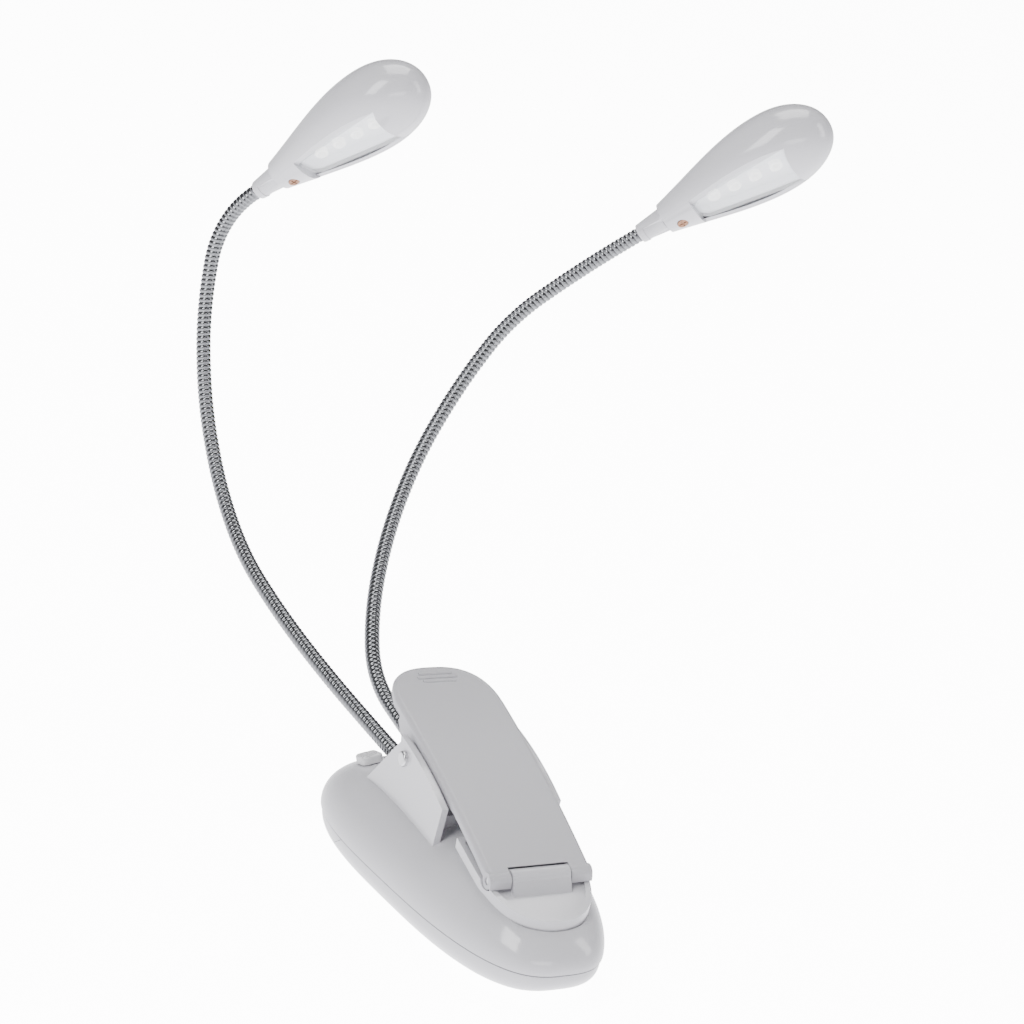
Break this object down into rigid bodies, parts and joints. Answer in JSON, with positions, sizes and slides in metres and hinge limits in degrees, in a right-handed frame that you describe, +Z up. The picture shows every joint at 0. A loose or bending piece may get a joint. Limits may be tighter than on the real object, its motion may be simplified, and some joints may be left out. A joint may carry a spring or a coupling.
{
  "type": "clip on reading lamp",
  "caption": "Small battery reading lamp on an egg-shaped base with a spring clip lever, bendable metal goosenecks and teardrop heads with clear lenses over small diodes.",
  "frame": {"origin": "centre of the flat underside of the base, on the surface it stands on", "axes": "+Z up, -Y towards the clip jaw, +Y towards the goosenecks, +X to the right seen from the jaw end looking at the necks"},
  "size_m": [0.1636, 0.2345, 0.209],
  "materials": {
    "white_shell": "gloss",
    "lever_plastic": "satin",
    "switch_plastic": "matte",
    "dark_plastic": "matte",
    "spiral_steel": "polished",
    "steel": "satin",
    "contact_metal": "satin",
    "battery": "satin",
    "circuit_green": "matte",
    "lead": "satin",
    "soft_pad": "matte",
    "lens_clear": "clear",
    "reflector_white": "satin",
    "led_clear": "clear"
  },
  "bodies": {
    "base": {"base_top_shell": "white_shell", "rear_lower_shell": "white_shell", "rear_feet": "soft_pad", "case_screws": "steel", "battery_tray": "dark_plastic", "battery_cells": "battery", "battery_contacts": "contact_metal", "circuit_board": "circuit_green", "neck_clamp_bar": "dark_plastic", "clip_bracket": "white_shell", "bracket_screws": "steel", "pivot_pin": "steel", "torsion_spring": "steel", "left_switch_body": "switch_plastic", "left_neck_socket": "steel", "left_lead_wire": "lead", "left_neck_1": "spiral_steel", "right_switch_body": "switch_plastic", "right_neck_socket": "steel", "right_lead_wire": "lead", "right_neck_1": "spiral_steel"},
    "battery_door": {"battery_door": "white_shell"},
    "lever": {"clip_lever": "lever_plastic", "jaw_hinge_pin": "steel"},
    "jaw": {"jaw_foot": "white_shell", "jaw_pad": "soft_pad"},
    "left_switch_knob": {"left_switch_knob": "switch_plastic"},
    "right_switch_knob": {"right_switch_knob": "switch_plastic"},
    "left_neck_2": {"left_neck_2": "spiral_steel"},
    "left_neck_3": {"left_neck_3": "spiral_steel"},
    "left_neck_4": {"left_neck_4": "spiral_steel"},
    "left_neck_5": {"left_neck_5": "spiral_steel"},
    "left_neck_6": {"left_neck_6": "spiral_steel"},
    "left_neck_7": {"left_neck_7": "spiral_steel"},
    "left_head": {"left_neck_8": "spiral_steel", "left_neck_collar": "white_shell", "left_head_shell": "white_shell", "left_head_cover": "white_shell", "left_lens": "lens_clear", "left_reflector": "reflector_white", "left_led_board": "circuit_green", "left_leds": "led_clear", "left_head_screw": "steel"},
    "right_neck_2": {"right_neck_2": "spiral_steel"},
    "right_neck_3": {"right_neck_3": "spiral_steel"},
    "right_neck_4": {"right_neck_4": "spiral_steel"},
    "right_neck_5": {"right_neck_5": "spiral_steel"},
    "right_neck_6": {"right_neck_6": "spiral_steel"},
    "right_neck_7": {"right_neck_7": "spiral_steel"},
    "right_head": {"right_neck_8": "spiral_steel", "right_neck_collar": "white_shell", "right_head_shell": "white_shell", "right_head_cover": "white_shell", "right_lens": "lens_clear", "right_reflector": "reflector_white", "right_led_board": "circuit_green", "right_leds": "led_clear", "right_head_screw": "steel"}
  },
  "joints": [
    {"name": "lever_pivot", "type": "hinge", "parent": "base", "child": "lever", "pos_m": [0, 0.0114, 0.0392], "axis": [-1, 0, 0], "range_deg": [0, 25], "stiffness_Nm_per_rad": 0.5, "springref_deg": -34.38, "deforming": ["torsion_spring"]},
    {"name": "jaw_pivot", "type": "hinge", "parent": "lever", "child": "jaw", "pos_m": [0, -0.0376, 0.0273], "axis": [-1, 0, 0], "range_deg": [-7.5, 0]},
    {"name": "battery_door_slide", "type": "slide", "parent": "base", "child": "battery_door", "axis": [0, -1, 0], "range_m": [0, 0.105]},
    {"name": "left_switch_slide", "type": "slide", "parent": "base", "child": "left_switch_knob", "axis": [0, 0.9552, -0.2961], "range_m": [-0.002, 0.002]},
    {"name": "right_switch_slide", "type": "slide", "parent": "base", "child": "right_switch_knob", "axis": [0, 0.9552, -0.2961], "range_m": [-0.002, 0.002]},
    {"name": "left_neck_sway", "type": "hinge", "parent": "base", "child": "left_neck_2", "pos_m": [-0.00825, 0.0625, 0.0295], "axis": [0.2178, -0.2375, 0.9467], "range_deg": [-15, 15]},
    {"name": "left_neck_curl", "type": "hinge", "parent": "left_neck_2", "child": "left_neck_3", "pos_m": [-0.015, 0.089, 0.0385], "axis": [0.9461, 0.2904, -0.1436], "range_deg": [-15, 15]},
    {"name": "left_neck_sway_2", "type": "hinge", "parent": "left_neck_3", "child": "left_neck_4", "pos_m": [-0.0205, 0.113, 0.0485], "axis": [0.2457, -0.3611, 0.8996], "range_deg": [-15, 15]},
    {"name": "left_neck_curl_2", "type": "hinge", "parent": "left_neck_4", "child": "left_neck_5", "pos_m": [-0.024, 0.135, 0.0615], "axis": [0.9558, 0.2314, -0.1811], "range_deg": [-15, 15]},
    {"name": "left_neck_sway_3", "type": "hinge", "parent": "left_neck_5", "child": "left_neck_6", "pos_m": [-0.0255, 0.1535, 0.0795], "axis": [0.3057, -0.7329, 0.6078], "range_deg": [-15, 15]},
    {"name": "left_neck_curl_3", "type": "hinge", "parent": "left_neck_6", "child": "left_neck_7", "pos_m": [-0.026, 0.167, 0.103], "axis": [0.9514, 0.2873, -0.1105], "range_deg": [-15, 15]},
    {"name": "left_head_tilt", "type": "hinge", "parent": "left_neck_7", "child": "left_head", "pos_m": [-0.0248, 0.173, 0.1314], "axis": [0.9568, 0.2758, -0.0925], "range_deg": [-20, 20]},
    {"name": "right_neck_sway", "type": "hinge", "parent": "base", "child": "right_neck_2", "pos_m": [0.00325, 0.0625, 0.029], "axis": [0.62, -0.1585, 0.7684], "range_deg": [-15, 15]},
    {"name": "right_neck_curl", "type": "hinge", "parent": "right_neck_2", "child": "right_neck_3", "pos_m": [0.0055, 0.0875, 0.0405], "axis": [0.7729, 0.1775, -0.6092], "range_deg": [-15, 15]},
    {"name": "right_neck_sway_2", "type": "hinge", "parent": "right_neck_3", "child": "right_neck_4", "pos_m": [0.014, 0.106, 0.057], "axis": [0.5033, -0.7655, 0.4009], "range_deg": [-15, 15]},
    {"name": "right_neck_curl_2", "type": "hinge", "parent": "right_neck_4", "child": "right_neck_5", "pos_m": [0.025, 0.1195, 0.076], "axis": [0.7841, 0.2079, -0.5848], "range_deg": [-15, 15]},
    {"name": "right_neck_sway_3", "type": "hinge", "parent": "right_neck_5", "child": "right_neck_6", "pos_m": [0.038, 0.1275, 0.097], "axis": [0.2816, -0.9588, 0.0387], "range_deg": [-15, 15]},
    {"name": "right_neck_curl_3", "type": "hinge", "parent": "right_neck_6", "child": "right_neck_7", "pos_m": [0.052, 0.13, 0.1185], "axis": [0.8142, 0.2062, -0.5428], "range_deg": [-15, 15]},
    {"name": "right_head_tilt", "type": "hinge", "parent": "right_neck_7", "child": "right_head", "pos_m": [0.069, 0.126, 0.139], "axis": [0.7326, 0.2271, -0.6417], "range_deg": [-20, 20]}
  ],
  "couplings": [
    {"joint": "jaw_pivot", "follows": "lever_pivot", "ratio": -0.3},
    {"joint": "left_neck_sway_2", "follows": "left_neck_sway", "ratio": 1},
    {"joint": "left_neck_curl_2", "follows": "left_neck_curl", "ratio": 1},
    {"joint": "left_neck_sway_3", "follows": "left_neck_sway", "ratio": 1},
    {"joint": "left_neck_curl_3", "follows": "left_neck_curl", "ratio": 1},
    {"joint": "right_neck_sway_2", "follows": "right_neck_sway", "ratio": 1},
    {"joint": "right_neck_curl_2", "follows": "right_neck_curl", "ratio": 1},
    {"joint": "right_neck_sway_3", "follows": "right_neck_sway", "ratio": 1},
    {"joint": "right_neck_curl_3", "follows": "right_neck_curl", "ratio": 1}
  ]
}
